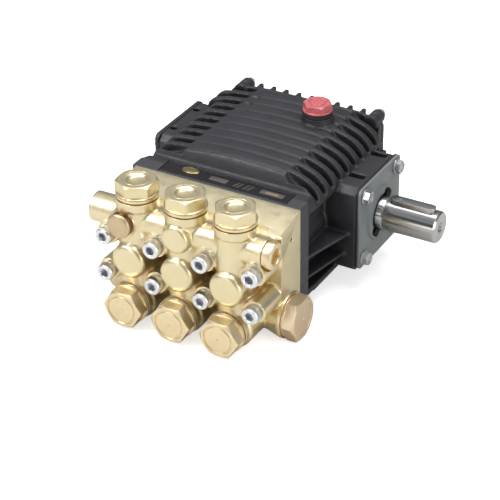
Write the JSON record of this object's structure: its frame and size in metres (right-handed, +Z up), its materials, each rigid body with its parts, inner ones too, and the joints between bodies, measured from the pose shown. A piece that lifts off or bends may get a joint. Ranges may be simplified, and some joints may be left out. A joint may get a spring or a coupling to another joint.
{
  "type": "pressure washer pump",
  "caption": "Triplex plunger pump: finned black crankcase with a keyed output shaft, brass valve manifold with hexagon caps, crank, rods, plungers and valves inside.",
  "frame": {"origin": "on the flat underside of the crankcase, midway between its sides and straight below the crank axis", "axes": "+X along the crankshaft to its driven end, -Y to the brass manifold, +Z up"},
  "size_m": [0.2216, 0.2209, 0.1171],
  "materials": {
    "black_casting": "satin black paint on die-cast aluminium",
    "cover_plate": "grey painted plate",
    "brass_casting": "cast brass, lightly blasted",
    "brass_turned": "turned brass",
    "zinc_steel": "zinc-plated steel",
    "ground_steel": "ground steel",
    "forged_steel": "forged and machined steel",
    "ceramic": "polished ceramic",
    "bronze": "bearing bronze",
    "black_rubber": "nitrile rubber",
    "red_plastic": "moulded red plastic",
    "clear_lens": "clear sight lens",
    "label_film": "printed-free label film",
    "white_polymer": "valve plate polymer"
  },
  "bodies": {
    "pump_body": {"crankcase": "black_casting", "rear_cover": "black_casting", "oil_sight_glass": "clear_lens", "oil_drain_plug": "brass_turned", "shaft_side_cover": "cover_plate", "cover_screw_1": "zinc_steel", "cover_screw_2": "zinc_steel", "cover_screw_3": "zinc_steel", "cover_screw_4": "zinc_steel", "blind_side_cover": "black_casting", "shaft_oil_seal": "black_rubber", "shaft_side_bearing": "ground_steel", "blind_side_bearing": "ground_steel", "label_strip": "label_film", "packing_gland_1": "bronze", "packing_gland_2": "bronze", "packing_gland_3": "bronze", "valve_manifold": "brass_casting", "delivery_valve_cap_1": "brass_turned", "delivery_valve_cap_2": "brass_turned", "delivery_valve_cap_3": "brass_turned", "suction_valve_cap_1": "brass_turned", "suction_valve_cap_2": "brass_turned", "suction_valve_cap_3": "brass_turned", "manifold_bolt_1": "zinc_steel", "manifold_bolt_2": "zinc_steel", "manifold_bolt_3": "zinc_steel", "manifold_bolt_4": "zinc_steel", "manifold_bolt_5": "zinc_steel", "manifold_bolt_6": "zinc_steel", "manifold_bolt_7": "zinc_steel", "manifold_bolt_8": "zinc_steel", "inlet_plug": "brass_turned", "gauge_port_plug": "brass_turned", "outlet_plug": "brass_turned"},
    "crank": {"crankshaft": "ground_steel", "shaft_key": "zinc_steel"},
    "rod_1": {"connecting_rod_1": "forged_steel"},
    "wrist_1": {"wrist_pin_1": "ground_steel"},
    "bush_1": {"pin_bush_1": "bronze"},
    "plunger_1": {"plunger_guide_1": "forged_steel", "ceramic_plunger_1": "ceramic"},
    "rod_2": {"connecting_rod_2": "forged_steel"},
    "wrist_2": {"wrist_pin_2": "ground_steel"},
    "bush_2": {"pin_bush_2": "bronze"},
    "plunger_2": {"plunger_guide_2": "forged_steel", "ceramic_plunger_2": "ceramic"},
    "rod_3": {"connecting_rod_3": "forged_steel"},
    "wrist_3": {"wrist_pin_3": "ground_steel"},
    "bush_3": {"pin_bush_3": "bronze"},
    "plunger_3": {"plunger_guide_3": "forged_steel", "ceramic_plunger_3": "ceramic"},
    "delivery_poppet_1": {"delivery_valve_1": "white_polymer"},
    "suction_poppet_1": {"suction_valve_1": "white_polymer"},
    "delivery_poppet_2": {"delivery_valve_2": "white_polymer"},
    "suction_poppet_2": {"suction_valve_2": "white_polymer"},
    "delivery_poppet_3": {"delivery_valve_3": "white_polymer"},
    "suction_poppet_3": {"suction_valve_3": "white_polymer"},
    "oil_filler": {"oil_cap": "red_plastic"}
  },
  "joints": [
    {"name": "crank_spin", "type": "hinge", "parent": "pump_body", "child": "crank", "pos_m": [0, 0, 0.037], "axis": [1, 0, 0], "continuous": true},
    {"name": "rod_1_on_crankpin", "type": "hinge", "parent": "crank", "child": "rod_1", "pos_m": [-0.0391, 0.005, 0.037], "axis": [1, 0, 0], "continuous": true},
    {"name": "wrist_pin_1_in_rod", "type": "hinge", "parent": "rod_1", "child": "wrist_1", "pos_m": [-0.0391, -0.047, 0.037], "axis": [1, 0, 0], "continuous": true},
    {"name": "pin_bush_1_turn", "type": "hinge", "parent": "wrist_1", "child": "bush_1", "pos_m": [-0.0391, -0.0495, 0.037], "axis": [1, 0, 0], "continuous": true},
    {"name": "plunger_1_stroke", "type": "hinge", "parent": "bush_1", "child": "plunger_1", "pos_m": [-0.0391, -0.047, 0.037], "axis": [1, 0, 0], "continuous": true},
    {"name": "rod_2_on_crankpin", "type": "hinge", "parent": "crank", "child": "rod_2", "pos_m": [0, -0.0025, 0.04133], "axis": [1, 0, 0], "continuous": true},
    {"name": "wrist_pin_2_in_rod", "type": "hinge", "parent": "rod_2", "child": "wrist_2", "pos_m": [0, -0.0545, 0.04133], "axis": [1, 0, 0], "continuous": true},
    {"name": "pin_bush_2_turn", "type": "hinge", "parent": "wrist_2", "child": "bush_2", "pos_m": [0, -0.05325, 0.03917], "axis": [1, 0, 0], "continuous": true},
    {"name": "plunger_2_stroke", "type": "hinge", "parent": "bush_2", "child": "plunger_2", "pos_m": [0, -0.0545, 0.037], "axis": [1, 0, 0], "continuous": true},
    {"name": "rod_3_on_crankpin", "type": "hinge", "parent": "crank", "child": "rod_3", "pos_m": [0.0391, -0.0025, 0.03267], "axis": [1, 0, 0], "continuous": true},
    {"name": "wrist_pin_3_in_rod", "type": "hinge", "parent": "rod_3", "child": "wrist_3", "pos_m": [0.0391, -0.0545, 0.03267], "axis": [1, 0, 0], "continuous": true},
    {"name": "pin_bush_3_turn", "type": "hinge", "parent": "wrist_3", "child": "bush_3", "pos_m": [0.0391, -0.05325, 0.03483], "axis": [1, 0, 0], "continuous": true},
    {"name": "plunger_3_stroke", "type": "hinge", "parent": "bush_3", "child": "plunger_3", "pos_m": [0.0391, -0.0545, 0.037], "axis": [1, 0, 0], "continuous": true},
    {"name": "delivery_valve_1_lift", "type": "slide", "parent": "pump_body", "child": "delivery_poppet_1", "axis": [0, 0, 1], "range_m": [0, 0.0025], "stiffness_N_per_m": 400},
    {"name": "suction_valve_1_lift", "type": "slide", "parent": "pump_body", "child": "suction_poppet_1", "axis": [0, -1, 0], "range_m": [0, 0.0025], "stiffness_N_per_m": 400},
    {"name": "delivery_valve_2_lift", "type": "slide", "parent": "pump_body", "child": "delivery_poppet_2", "axis": [0, 0, 1], "range_m": [0, 0.0025], "stiffness_N_per_m": 400},
    {"name": "suction_valve_2_lift", "type": "slide", "parent": "pump_body", "child": "suction_poppet_2", "axis": [0, -1, 0], "range_m": [0, 0.0025], "stiffness_N_per_m": 400},
    {"name": "delivery_valve_3_lift", "type": "slide", "parent": "pump_body", "child": "delivery_poppet_3", "axis": [0, 0, 1], "range_m": [0, 0.0025], "stiffness_N_per_m": 400},
    {"name": "suction_valve_3_lift", "type": "slide", "parent": "pump_body", "child": "suction_poppet_3", "axis": [0, -1, 0], "range_m": [0, 0.0025], "stiffness_N_per_m": 400},
    {"name": "oil_cap_lift", "type": "slide", "parent": "pump_body", "child": "oil_filler", "axis": [0, 0, 1], "range_m": [0, 0.06]}
  ],
  "couplings": [
    {"joint": "rod_1_on_crankpin", "follows": "crank_spin", "ratio": -1},
    {"joint": "wrist_pin_1_in_rod", "follows": "crank_spin", "ratio": 1},
    {"joint": "pin_bush_1_turn", "follows": "crank_spin", "ratio": -2},
    {"joint": "plunger_1_stroke", "follows": "crank_spin", "ratio": 1},
    {"joint": "rod_2_on_crankpin", "follows": "crank_spin", "ratio": -1},
    {"joint": "wrist_pin_2_in_rod", "follows": "crank_spin", "ratio": 1},
    {"joint": "pin_bush_2_turn", "follows": "crank_spin", "ratio": -2},
    {"joint": "plunger_2_stroke", "follows": "crank_spin", "ratio": 1},
    {"joint": "rod_3_on_crankpin", "follows": "crank_spin", "ratio": -1},
    {"joint": "wrist_pin_3_in_rod", "follows": "crank_spin", "ratio": 1},
    {"joint": "pin_bush_3_turn", "follows": "crank_spin", "ratio": -2},
    {"joint": "plunger_3_stroke", "follows": "crank_spin", "ratio": 1}
  ]
}
